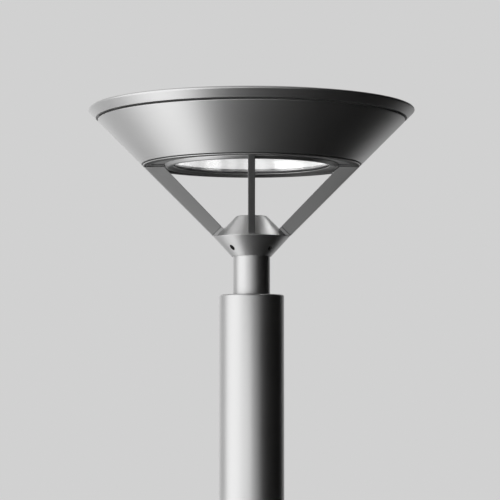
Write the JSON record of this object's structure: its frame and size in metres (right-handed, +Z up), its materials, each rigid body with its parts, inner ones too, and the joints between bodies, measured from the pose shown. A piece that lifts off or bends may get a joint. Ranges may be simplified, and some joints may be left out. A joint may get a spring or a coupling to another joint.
{
  "type": "street lamp post",
  "caption": "Street lamp post: round column with base flange and service door, carrying an inverted conical head on flat slanted arms, with a hinged lid, flat glass and a bowl reflector.",
  "frame": {"origin": "centre of the base flange's underside, on the axis of the post", "axes": "+Z up the post; -Y is the side of the service door and of the picture's camera; +X to the right in the picture"},
  "size_m": [0.6654, 0.6654, 3.6337],
  "materials": {
    "silver_paint": "smooth semi-gloss metallic grey powder coat",
    "bright_steel": "galvanised or stainless steel",
    "plain_aluminium": "mill finish",
    "reflector_aluminium": "bright anodised, softly mirrored",
    "black_rubber": "matt silicone seal",
    "clear_glass": "clear toughened flat glass",
    "grey_plastic": "moulded, fine texture",
    "white_board": "white solder mask",
    "brass": "plain machined"
  },
  "bodies": {
    "post": {"base_flange": "bright_steel", "pole_foot": "silver_paint", "pole_door_section": "silver_paint", "pole_tube": "silver_paint", "spigot_tube": "silver_paint", "spigot_ring": "bright_steel", "door_strip_left": "bright_steel", "door_strip_right": "bright_steel", "equipment_rail": "bright_steel", "earth_stud": "brass", "fuse_box": "grey_plastic", "fuse_box_cover": "grey_plastic", "fuse_box_gland_left": "grey_plastic", "fuse_box_gland_right": "grey_plastic"},
    "head": {"arm_front": "silver_paint", "arm_left": "silver_paint", "arm_rear": "silver_paint", "arm_right": "silver_paint", "arm_screw_lower_front": "bright_steel", "arm_screw_lower_left": "bright_steel", "arm_screw_lower_rear": "bright_steel", "arm_screw_lower_right": "bright_steel", "arm_screw_upper_front": "bright_steel", "arm_screw_upper_left": "bright_steel", "arm_screw_upper_rear": "bright_steel", "arm_screw_upper_right": "bright_steel", "driver": "grey_plastic", "gear_tray": "plain_aluminium", "glass_bezel": "silver_paint", "glass_gasket": "black_rubber", "glass_pane": "clear_glass", "glass_retainer": "bright_steel", "heat_sink": "plain_aluminium", "hinge_pin": "bright_steel", "housing_shell": "silver_paint", "hub_casting": "silver_paint", "hub_set_screw_front_left": "bright_steel", "hub_set_screw_front_right": "bright_steel", "hub_set_screw_rear_left": "bright_steel", "hub_set_screw_rear_right": "bright_steel", "led_board": "white_board", "lid_gasket": "black_rubber", "lower_ring": "silver_paint", "reflector": "reflector_aluminium", "surge_protector": "grey_plastic", "terminal_block": "grey_plastic", "tray_post_front_left": "plain_aluminium", "tray_post_front_right": "plain_aluminium", "tray_post_rear_left": "plain_aluminium", "tray_post_rear_right": "plain_aluminium"},
    "lid": {"lid": "silver_paint", "lid_screw_left": "bright_steel", "lid_screw_front": "bright_steel", "lid_screw_right": "bright_steel"},
    "door": {"door_panel": "silver_paint", "door_tongue": "bright_steel", "lock_bush": "bright_steel", "lock_nut": "bright_steel"},
    "door_lock": {"lock_spindle": "bright_steel", "lock_bar": "bright_steel"}
  },
  "joints": [
    {"name": "head_swivel", "type": "hinge", "parent": "post", "child": "head", "pos_m": [0, 0, 3.235], "axis": [0, 0, 1], "continuous": true},
    {"name": "lid_hinge", "type": "hinge", "parent": "head", "child": "lid", "pos_m": [0, 0.3265, 3.593], "axis": [-1, 0, 0], "range_deg": [0, 95]},
    {"name": "door_hinge", "type": "hinge", "parent": "post", "child": "door", "pos_m": [0, -0.0665, 0.6015], "axis": [1, 0, 0], "range_deg": [0, 40]},
    {"name": "door_lock", "type": "hinge", "parent": "door", "child": "door_lock", "pos_m": [0, -0.0665, 0.94], "axis": [0, 1, 0], "range_deg": [0, 90]}
  ]
}
